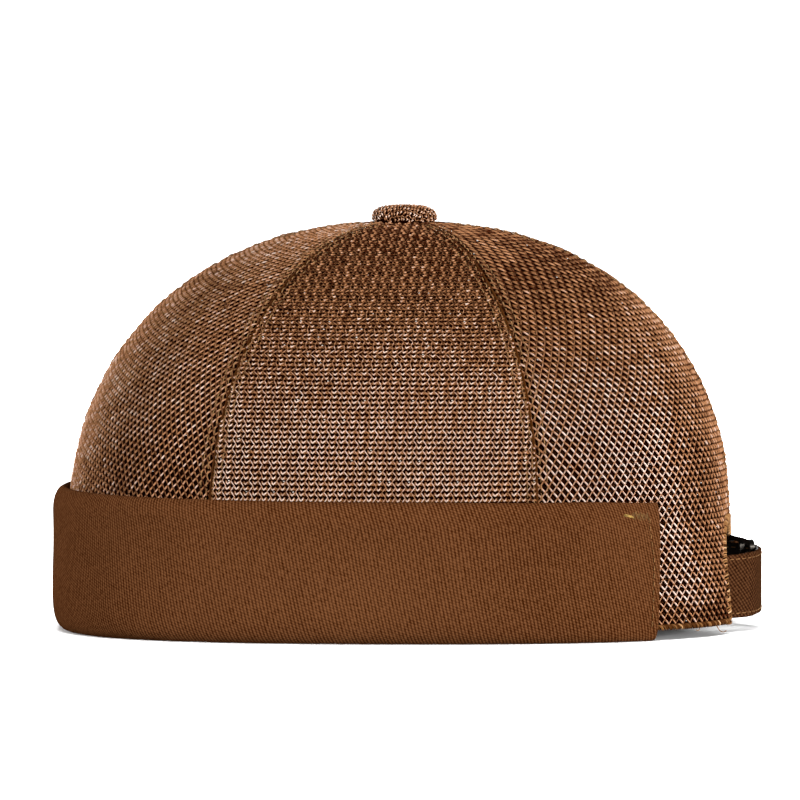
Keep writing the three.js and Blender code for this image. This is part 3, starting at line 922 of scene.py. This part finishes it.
def covered_button():
    build = Build()
    reach = button_profile(np.array(0.0))[-1]
    rings = 26
    around = 48
    turn = np.arange(around) / around * 2 * np.pi
    distance = np.linspace(0.02, reach, rings)
    x = distance[:, None] * np.cos(turn)
    y = distance[:, None] * np.sin(turn)
    shell, _ = button_point(x, y, np.full(x.shape, -0.5))
    build.add(shell, grid_faces(rings, around, wrap=True), 0, uv=np.stack([x, y], axis=-1))
    for ring, flip in ((shell[0], True), (shell[-1], False)):
        points = np.concatenate([ring, [ring.mean(axis=0)]])
        start = np.arange(0, around, 2)
        faces = np.stack([
            np.full(len(start), around), (start + 2) % around, start + 1, start,
        ], axis=-1)
        build.add(points, faces[:, ::-1] if flip else faces, 0)
    cell = 2.1
    count = math.ceil(reach / cell)
    column, row = np.meshgrid(np.arange(-count, count), np.arange(-count, count))
    left = column.ravel() * cell
    foot = row.ravel() * cell
    shades = random.normal(0, 0.16, len(left))
    # Distance from the middle where the cover turns down, where it gets the most painted light
    rim_at = 11
    rim_spread = 6
    for path, radius in level_strands:
        path = np.array(path)
        x = left[:, None] + path[None, :, 0] * cell
        y = foot[:, None] + path[None, :, 1] * cell
        x = x + 0.35 * smooth_noise(x, y, 1.1, 2.0)
        y = y + 0.35 * smooth_noise(x, y, 1.3, 6.0)
        height = path[None, :, 2] * 0.8 - 0.2 + 0 * x
        points, normal = button_point(x, y, height)
        keep = np.hypot(x, y).max(axis=1) < reach - 0.4
        rim_painted_light = np.maximum(1 - np.abs(np.hypot(x, y)[keep] - rim_at) / rim_spread, 0)
        # Painted highlights along the strands, the whole button darker, and a band of painted light round
        # its side
        shade = path[None, :, 3] - 0.4 + 0.3 * rim_painted_light + shades[keep][:, None]
        build.add_tubes(points[keep], normal[keep], radius * 0.85, 1, shade)
    return build.finish("top_button_covered", [inner_layer, yarn])


button_piece = covered_button()


# Turn-up cuff

def cuff_at(share):
    """Stand-off and height of the cuff at shares of the way from the front to an end."""
    rows = np.array(cuff_rows)
    place = np.clip(np.searchsorted(rows[:, 0], share, side="left"), 1, len(rows) - 1)
    low = rows[place - 1]
    high = rows[place]
    local = (share - low[:, 0]) / (high[:, 0] - low[:, 0])
    local = local * local * (3 - 2 * local)
    stand_off = cuff.stand_off * lerp(low[:, 1], high[:, 1], local)
    height = cuff.height * lerp(low[:, 2], high[:, 2], local)
    return stand_off, height + 0.6 * smooth_step(share, 0.6, 1)


def round_corner(share):
    """How far the folded edge has come out, at a share of the height left to climb."""
    fullness = 2.8
    return (1 - np.clip(share, 0, 1) ** fullness) ** (1 / fullness)


def angle_at_y(level, y):
    """Angle behind the middle of the side at which the wall reaches a distance towards the back."""
    return angle_where(lambda points: points[..., 1] < y, level)


def cuff_place(side, out, z):
    """Place on the cuff: side runs from -1 at the right end past 0 in front to 1 at the left end."""
    level = level_at(z)
    end = cuff.end_y - 0.5 * smooth_step(z, 26, 42)
    angle = side * (angle_at_y(level, end) + np.pi / 2) - np.pi / 2
    outward = horizontal(crown_normal(angle, level))
    point = crown_point(angle, level)
    point[..., 2] = z
    return point + outward * out[..., None], outward


def cuff_section(share):
    """Rows of (out, z) round the folded cloth, for each column, and the number of outer rows."""
    stand_off, height = cuff_at(share)
    inside = stand_off - cuff.thickness
    foot_out = -crown.wall / 2
    foot_in = -crown.wall - cuff.seam_lap
    same = np.ones_like(share)
    section = [(foot_in, cuff.floor), (foot_in, 0)]
    for turn in np.linspace(0, np.pi / 2, 12):
        fall = np.cos(turn)
        section.append((lerp(foot_out, stand_off, round_corner(fall)), cuff.fold_rise * (1 - fall)))
    face_rows = 12
    for step in range(1, face_rows):
        section.append((stand_off, lerp(cuff.fold_rise, height - cuff.roll_rise, step / face_rows)))
    tip_out = cuff.tip_gap + cuff.thickness / 2
    for turn in np.linspace(0, np.pi / 2, 10):
        fall = cuff.roll_rise * (1 - np.sin(turn))
        section.append((lerp(tip_out, stand_off, np.cos(turn)), height - fall))
    outer_rows = len(section)
    inner_top = height - cuff.thickness * 0.8
    for turn in np.linspace(0, np.pi / 2, 6):
        section.append((lerp(cuff.tip_gap, inside, np.sin(turn)),
                        inner_top - cuff.roll_rise * (1 - np.cos(turn))))
    for turn in np.linspace(0, np.pi / 2, 6):
        section.append((lerp(0, inside, np.cos(turn)), lerp(cuff.fold_rise, cuff.floor, np.sin(turn))))
    out = np.stack([row[0] * same for row in section])
    z = np.stack([row[1] * same for row in section])
    return out, z, outer_rows


# Columns of the cuff, closer together by its ends
end_part = 0.06
cuff_columns = np.concatenate([
    np.linspace(-1, end_part - 1, 40)[:-1], np.linspace(end_part - 1, 1 - end_part, 201),
    np.linspace(1 - end_part, 1, 40)[1:],
])


def stitch_inset(z):
    """Distance of the row of stitches from the cuff's end."""
    return 2.3 + 2.0 * smooth_step(z, 22, 36)


def cuff_relief(run, rise, z):
    """Soft ripples, the line that the end's stitches pull in, and the dent and swell by the bar tack."""
    from_end = np.minimum(run, run[-1] - run)[None, :]
    ripples = 0.28 * smooth_noise(run[None, :] + 0 * z, 0.6 * rise, 11.0, 4.0)
    stitch_line = 0.3 * np.exp(-((from_end - stitch_inset(z)) / 0.6) ** 2)
    dent = 0.45 * np.exp(-((from_end - 9) / 6) ** 2 - ((z - 38) / 3) ** 2)
    swell = 0.25 * np.exp(-((from_end - 8) / 5) ** 2 - ((z - 33) / 3) ** 2)
    return ripples - stitch_line - dent + swell


def turned_up_cuff():
    """The folded cloth, and the length along its face at each column."""
    build = Build()
    out, z, outer_rows = cuff_section(np.abs(cuff_columns))
    sides = np.broadcast_to(cuff_columns, z.shape)
    flat, _ = cuff_place(sides, out, z)
    face_row = 20
    run = run_along(flat[face_row])
    rise = run_along(flat)
    outer = (np.arange(len(z)) < outer_rows)[:, None] & (z > 1)
    points, _ = cuff_place(sides, out + cuff_relief(run, rise, z) * outer, z)
    uv = np.stack([np.broadcast_to(run, z.shape), rise], axis=-1)
    faces = grid_faces(len(cuff_columns), len(z), wrap=True)
    build.add(points.transpose(1, 0, 2), faces[:, ::-1], 0, uv=uv.transpose(1, 0, 2))
    near = np.arange(1, outer_rows)
    far = np.linspace(len(z), outer_rows, len(near)).astype(int) % len(z)
    for column, flip in ((0, False), (-1, True)):
        add_end(build, points[:, column], near, far, flip, uv[:, column])
    return build, run


def surface_threads(build, place, starts, ends, lift, radius, material, bend=0.3):
    """Short threads between pairs of flat points, sunk at both ends; place maps flat points to space."""
    shares = np.array([0, 0.25, 0.75, 1.0])
    flat = starts[:, None] + (ends - starts)[:, None] * shares[None, :, None]
    height = lift + bend * np.array([-1, 0, 0, -1.0])
    points, outward = place(flat[..., 0], flat[..., 1], np.broadcast_to(height, flat.shape[:2]))
    build.add_tubes(points, outward, radius, material)


cuff_build, cuff_run = turned_up_cuff()


def on_cuff(along, z, lift):
    """Point on the cuff's outer face at a length along it and a height over the table."""
    side = np.interp(along, cuff_run, cuff_columns)
    share = np.abs(side)
    stand_off, height = cuff_at(share.ravel())
    stand_off = stand_off.reshape(share.shape)
    height = height.reshape(share.shape)
    fold = np.clip(1 - z / cuff.fold_rise, 0, 1)
    roll = np.clip((z - height + cuff.roll_rise) / cuff.roll_rise, 0, 0.999)
    foot_out = -crown.wall / 2
    tip_out = cuff.tip_gap + cuff.thickness / 2
    out = lerp(foot_out, stand_off, round_corner(fold))
    out = np.where(roll > 0, lerp(tip_out, stand_off, np.sqrt(1 - roll ** 2)), out)
    return cuff_place(side, out + lift, z)


def add_cuff_stitching(build):
    """A row of stitches beside each end and a bar tack near its upper corner."""
    pitch = 2.4
    for end, inward in ((0.0, 1), (cuff_run[-1], -1)):
        heights = np.arange(4.5, 37.5, pitch)
        tops = heights + pitch * 0.7
        starts = np.stack([end + inward * stitch_inset(heights), heights], axis=-1)
        ends = np.stack([end + inward * stitch_inset(tops), tops], axis=-1)
        surface_threads(build, on_cuff, starts, ends, 0.0, 0.13, 1)
        zigzags = 12
        along = end + inward * np.linspace(4.6, 10.6, zigzags)
        low = np.stack([along, 36.4 + 0.6 * random.normal(0, 1, zigzags)], axis=-1)
        high = np.stack([along + inward * 0.5, 39.5 + 0.5 * random.normal(0, 1, zigzags)], axis=-1)
        surface_threads(build, on_cuff, low, high, -0.35, 0.15, 3)
        bars = np.linspace(0, 1, 3)
        near = np.stack([end + inward * (10.8 + 0.5 * bars), 37.6 + 0.5 * bars], axis=-1)
        far = np.stack([end + inward * (14.6 - 0.4 * bars), 38.3 + 0.5 * bars], axis=-1)
        surface_threads(build, on_cuff, near, far, 0.0, 0.16, 2)


add_cuff_stitching(cuff_build)
cuff_materials = [cuff_twill, tan_thread, bright_gold_thread, dark_gold_thread]
cuff_piece = cuff_build.finish("turn_up_cuff_cloth", cuff_materials)


# Back strap, its tab and the slide

climb = math.tan(math.radians(strap.tilt))


def inside_wall(at_share, layers, side):
    """Plan place inside the wall, at a share of the way from the strap's end to the middle back."""
    from_side = math.radians(lerp(strap.end_angle, 90, at_share))
    angle = np.array(from_side if side > 0 else math.pi - from_side)
    top = level_at(np.array(strap.lower_edge + strap.width + climb * crown.half_width / 2))
    layer_step = strap.thickness + strap.wall_gap
    depth = crown.wall + strap.wall_gap + strap.thickness / 2 + layers * layer_step
    return (crown_point(angle, top) - horizontal(crown_normal(angle, top)) * depth)[:2]


def by_slide(along, out):
    """Plan place by the slide: a distance along it from its near end, and out from its middle."""
    slope = math.radians(slide.slope)
    return np.array([
        slide.near_x - along * math.cos(slope) - out * math.sin(slope),
        strap_reach - slide.set_in - along * math.sin(slope) + out * math.cos(slope),
    ])


over_bar = slide.depth / 2 + 0.3 + strap.thickness / 2
far_bar = slide.length - slide.bar / 2
under_ring = tab.ring_radius + 0.3 + strap.thickness / 2


def strap_route():
    bulge = strap_reach - strap.thickness / 2
    return [
        *(inside_wall(share, 0, 1) for share in (0, 0.22, 0.42)),
        np.array([0.5 * arch.half_width, 0.976 * bulge]),
        np.array([0.16 * arch.half_width, bulge]),
        by_slide(0.04 * slide.length, 1.17 * over_bar),
        by_slide(0.49 * slide.length, 1.33 * over_bar),
        by_slide(0.7 * slide.length, -0.33 * over_bar),
        by_slide(0.96 * slide.length, -1.2 * under_ring),
        inside_wall(0.42, 1.6, -1),
        inside_wall(0.2, 1, -1),
    ]


def tab_route():
    return [
        by_slide(far_bar + (tab.ring_radius + tab.ring_hole) / 2.5, 0),
        by_slide(far_bar + 1.5 * tab.ring_radius, -strap.thickness),
        inside_wall(0.36, 0.3, -1),
        inside_wall(0.18, 0, -1),
        inside_wall(0, 0, -1),
    ]


def band_section(width, thickness, corner=0.55, corner_steps=4, face_steps=8):
    """Closed section of a band with rounded edges: (across its thickness, up its width)."""
    section = []
    centres = [
        (thickness / 2 - corner, corner, -90), (thickness / 2 - corner, width - corner, 0),
        (-thickness / 2 + corner, width - corner, 90), (-thickness / 2 + corner, corner, 180),
    ]
    for number, (across, up, start) in enumerate(centres):
        for step in range(corner_steps + 1):
            angle = math.radians(start + 90 * step / corner_steps)
            section.append((across + corner * math.cos(angle), up + corner * math.sin(angle)))
        if number in (0, 2):
            top = (width - corner) if number == 0 else corner
            for step in range(1, face_steps):
                section.append((section[-1][0], lerp(up, top, step / face_steps)))
    return np.array(section)


def add_band(build, route, steps):
    """Band of cloth along a plan route, dark on its inner face."""
    path = smooth_path(route, steps)
    along = unit(np.gradient(path, axis=0))
    side = np.stack([-along[:, 1], along[:, 0]], axis=-1)
    section = band_section(strap.width, strap.thickness)
    run = run_along(path)
    xy = path[:, None] + side[:, None] * section[None, :, 0, None]
    z = strap.lower_edge + section[None, :, 1] - climb * xy[..., 0]
    z = z + 0.18 * smooth_noise(run[:, None], section[None, :, 1], 6.0, 8.0)
    points = np.concatenate([xy, z[..., None]], axis=-1)
    count = len(section)
    faces = grid_faces(steps, count, wrap=True)
    uv = np.stack(np.broadcast_arrays(run[:, None], run_along(section)[None, :]), axis=-1)
    # Faces on the band's inner side get the near-black cloth
    on_inner_face = np.tile((section[:, 0] > 0.1) & (np.roll(section[:, 0], -1) > 0.1), steps - 1)
    build.add(points, faces[~on_inner_face][:, ::-1], 0, uv=uv)
    build.add(points, faces[on_inner_face][:, ::-1], 2, uv=uv)
    near = np.arange(count // 2)
    for end, flip in ((0, True), (-1, False)):
        add_end(build, points[end], near, count - 1 - near, flip)
    return path, side, run


def band_threads(build, path, side, run, start, stop, face, up_places):
    """Rows of stitches on one face of a band."""
    pitch = 2.6
    places = np.arange(start, stop, pitch)

    def on_band(along, height, lift):
        out = face * follow(along, run, side)
        xy = follow(along, run, path) + out * (strap.thickness / 2 + lift)[..., None]
        z = strap.lower_edge + height - climb * xy[..., 0]
        return np.concatenate([xy, z[..., None]], axis=-1), unit(np.insert(out, 2, 0, axis=-1))

    for up in up_places:
        starts = np.stack([places, np.full(len(places), up)], axis=-1)
        ends = starts + np.array([pitch * 0.72, 0])
        surface_threads(build, on_band, starts, ends, 0.06, 0.14, 1, 0.2)


# Heights of the rows of stitches, over the strap's lower edge
stitch_rows = 1.4, strap.width - 1.4


def back_strap():
    build = Build()
    path, side, run = add_band(build, strap_route(), 150)
    for face in (1, -1):
        band_threads(build, path, side, run, 3, run[-1] - 3, face, stitch_rows)
    return build.finish("back_strap_cloth", [strap_twill, tan_thread, dark_inner_face_cloth])


def strap_tab():
    build = Build()
    path, side, run = add_band(build, tab_route(), 60)
    band_threads(build, path, side, run, 4, run[-1] - 2, 1, stitch_rows)
    add_tab_loop(build)
    return build.finish("strap_tab_cloth", [strap_twill, tan_thread, dark_inner_face_cloth])


def add_tab_loop(build):
    """Loop of the tab round the slide's far bar, its edges rounded."""
    centre = by_slide(far_bar, 0)
    round_out = 0.3
    round_up = 0.4
    low = [
        (tab.ring_hole, round_up), (tab.ring_hole + round_out, 0), (tab.ring_radius - round_out, 0),
        (tab.ring_radius, round_up),
    ]
    section = np.array(low + [(radius, strap.width - up) for radius, up in low[::-1]])
    around = 40
    turn = (np.arange(around + 1) % around / around * 2 * np.pi)[:, None]
    x = centre[0] + section[:, 0] * np.cos(turn)
    y = centre[1] + section[:, 0] * np.sin(turn)
    z = strap.lower_edge + section[:, 1] - climb * x
    run = np.arange(around + 1)[:, None] / around * 2 * np.pi * tab.ring_radius
    uv = np.stack(np.broadcast_arrays(run, section[:, 1]), axis=-1)
    build.add(np.stack([x, y, z], axis=-1), grid_faces(around + 1, len(section), wrap=True), 0, uv=uv)


strap_piece = back_strap()
tab_piece = strap_tab()

slide_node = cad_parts["strap_slide"]
slide_node.data.materials.clear()
slide_node.data.materials.append(dark_metal)
rounding = slide_node.modifiers.new("rounded_edges", "BEVEL")
rounding.width = 0.35 * MM
rounding.segments = 3
rounding.limit_method = "ANGLE"
rounding.angle_limit = math.radians(40)


# Rolled edges of the mesh: the hem at the back and the rim of the arch

def rolled_edge(build, points, outward, radius, strand_pitch, lean, shade):
    """Dark roll along a path with yarn curled round it."""
    length = run_along(points)
    steps = max(8, int(length[-1] / 1.2))
    at = np.linspace(0, length[-1], steps)
    centre = follow(at, length, points)
    normal = unit(follow(at, length, outward))
    build.add_tubes(centre[None], normal[None], radius * 0.82, sides=8)
    along = unit(np.gradient(centre, axis=0))
    side = unit(np.cross(along, normal))
    count = int(length[-1] / strand_pitch)
    strand_steps = 7
    starts = (np.arange(count) + 0.5) * strand_pitch
    turn = np.linspace(-1.9, 1.9, strand_steps)
    place = starts[:, None] + lean * turn[None, :] / 1.9 + 0.15 * random.normal(0, 1, (count, 1))
    out = unit(follow(place, at, normal))
    across = unit(follow(place, at, side))
    direction = np.cos(turn)[None, :, None] * out + np.sin(turn)[None, :, None] * across
    shades = np.repeat(shade + random.normal(0, 0.3, count), strand_steps)
    build.add_tubes(follow(place, at, centre) + direction * radius, direction, 0.3, 1, shades)


def angle_at_x(level, x):
    """Angle behind the middle of the side at which the wall reaches a distance to the left."""
    return angle_where(lambda points: points[..., 0] > x, level)


def under_wall(angle, level, side):
    """Points a little inside the crown's face and their outward directions, mirrored for side -1."""
    depth = 0.95
    mirror = np.array([side, 1, 1])
    normal = crown_normal(angle, level) * mirror
    return crown_point(angle, level) * mirror - normal * depth, normal


def arch_rim(side):
    """Half of the arch's edge on the crown, from its foot to its top."""
    turn = np.linspace(np.pi / 2, 0, 90)
    x = arch.half_width * np.sin(turn) ** (2 / arch.squareness)
    z = np.maximum(arch.height * np.cos(turn) ** (2 / arch.squareness), hem_line_height - 0.5)
    level = level_at(z)
    return under_wall(angle_at_x(level, x), level, side)


def hem_line(side):
    """The crown's lower edge from under the cuff's end to the foot of the arch."""
    level = np.array(-1.0)
    under_cuff = 8
    start = angle_at_y(level, cuff.end_y - under_cuff)
    stop = angle_at_x(level, arch.half_width)
    angle = np.linspace(start, stop, 60)
    return under_wall(angle, level_at(np.full_like(angle, hem_line_height + 0.4)), side)


# Yarn ends that hang from the hem by the arch
loose_threads = [
    [(33, 98.2, 3.0), (33.6, 99.4, 2.4), (34, 100.3, 1.0), (34.4, 101.6, 0.6), (34.8, 102.3, 1.1)],
    [(40, 93.4, 3.2), (40.6, 94.3, 2.2), (41.2, 93.9, 1.5), (41.5, 93.2, 1.7)],
]


def edge_piece(side, name):
    build = Build()
    points, normal = hem_line(side)
    order = slice(None) if side > 0 else slice(None, None, -1)
    rolled_edge(build, points[order], normal[order], 0.7, 0.9, 1.1, 0.25)
    points, normal = arch_rim(side)
    rolled_edge(build, points[order], normal[order], 1.05, 0.85, 0.9, 0.75)
    for knots in loose_threads:
        path = smooth_path(np.array(knots) * np.array([side, 1, 1]), 12)
        build.add_tubes(path[None], np.array([0.0, 0.0, 1.0]), 0.14, 1, 0.9)
    return build.finish(name, [inner_layer, edge_yarn])


edge_pieces = [edge_piece(1, "mesh_edge_left"), edge_piece(-1, "mesh_edge_right")]


# Camera at the photo's angle

view_azimuth = math.radians(93)
view_elevation = math.radians(2.7)
view_distance = 5.0
view_right = np.array([math.cos(view_azimuth), math.sin(view_azimuth), 0])
view_back = np.array([
    math.sin(view_azimuth) * math.cos(view_elevation),
    -math.cos(view_azimuth) * math.cos(view_elevation),
    math.sin(view_elevation),
])
aim_height = 70
aim_back = 1.08
aim_aside = -0.8
aim = (np.array([0, middle_y + aim_back, aim_height]) + aim_aside * view_right) * MM
camera_data = bpy.data.cameras.new("camera")
camera_data.lens = 728.2
camera_data.sensor_width = 36
camera_data.clip_end = 100
camera = new_object("camera", camera_data)
camera.location = aim + view_distance * view_back
camera.rotation_euler = Vector(-view_back).to_track_quat("-Z", "Y").to_euler()
bpy.context.scene.camera = camera


# Studio

PAPER_WHITE = 1.1


def studio_floor():
    """White floor: its own glow takes over from the floor light away from the cap."""
    size = 40.0
    data = bpy.data.meshes.new("studio_floor")
    corners = [(-size, -size, 0), (size, -size, 0), (size, size, 0), (-size, size, 0)]
    data.from_pydata(corners, [], [(0, 1, 2, 3)])
    shader = Shader("studio_floor")
    length = shader.node("ShaderNodeVectorMath", {"operation": "LENGTH"}, {0: shader.place()})
    glow = shader.math("MULTIPLY", shader.ramp(length.outputs["Value"], 0.2, 1.2), PAPER_WHITE)
    shader.colour((0.9, 0.9, 0.9))
    shader.set(roughness=1.0, specular_ior_level=0.0, emission_strength=glow)
    shader.put(shader.surface.inputs["Emission Color"], (1, 1, 1, 1))
    data.materials.append(shader.material)
    thing = new_object("studio_floor", data)
    thing.visible_diffuse = False
    thing.visible_glossy = False
    return thing


def soft_light(name, place, size, power):
    data = bpy.data.lights.new(name, "AREA")
    data.shape = "DISK"
    data.size = size
    data.energy = power
    thing = new_object(name, data)
    thing.location = place
    target = Vector((0, 0, 0.06))
    thing.rotation_euler = (target - Vector(place)).to_track_quat("-Z", "Y").to_euler()
    thing.visible_camera = False
    return thing


def studio_surround():
    """White surround that lights the cap only gently."""
    world = bpy.data.worlds.new("studio")
    world.use_nodes = True
    tree = world.node_tree
    seen = tree.nodes.new("ShaderNodeLightPath").outputs["Is Camera Ray"]
    strength = tree.nodes.new("ShaderNodeMapRange")
    tree.links.new(seen, strength.inputs["Value"])
    strength.inputs["To Min"].default_value = 0.3
    strength.inputs["To Max"].default_value = PAPER_WHITE
    surround = tree.nodes["Background"]
    surround.inputs["Color"].default_value = (1, 1, 1, 1)
    tree.links.new(strength.outputs["Result"], surround.inputs["Strength"])
    return world


floor = studio_floor()
# Name, place and size in metres, and power in watts
for name, place, size, power in (
    ("light_left", (1.74, 1.57, 0.32), 0.6, 72),
    ("light_right", (-2.35, -0.1, 0.35), 0.6, 44),
    ("light_front", (1.0, -2.0, 0.9), 0.6, 46),
    ("light_back", (-0.5, 2.2, 0.5), 0.6, 10),
    ("light_top", (0.0, -0.2, 2.2), 1.2, 3),
):
    soft_light(name, place, size, power)
floor_light = soft_light("light_floor", (0.0, 0.0, 2.5), 2.5, 140)
lit_floor = bpy.data.collections.new("lit_floor")
lit_floor.objects.link(floor)
floor_light.light_linking.receiver_collection = lit_floor
bpy.context.scene.world = studio_surround()
bpy.context.scene.view_settings.view_transform = "Standard"


# What each piece rides on and stands for

for piece in edge_pieces:
    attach(piece, "root")
for piece, node, slot in (
    *((piece, panel.name, "crown_mesh") for panel, piece in zip(panels, crown_pieces)),
    (button_piece, "top_button", "crown_mesh"),
    (cuff_piece, "turn_up_cuff", "cuff_twill"),
    (strap_piece, "back_strap", "strap_twill"),
    (tab_piece, "strap_tab", "strap_twill"),
):
    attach(piece, "root")
    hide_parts(node)
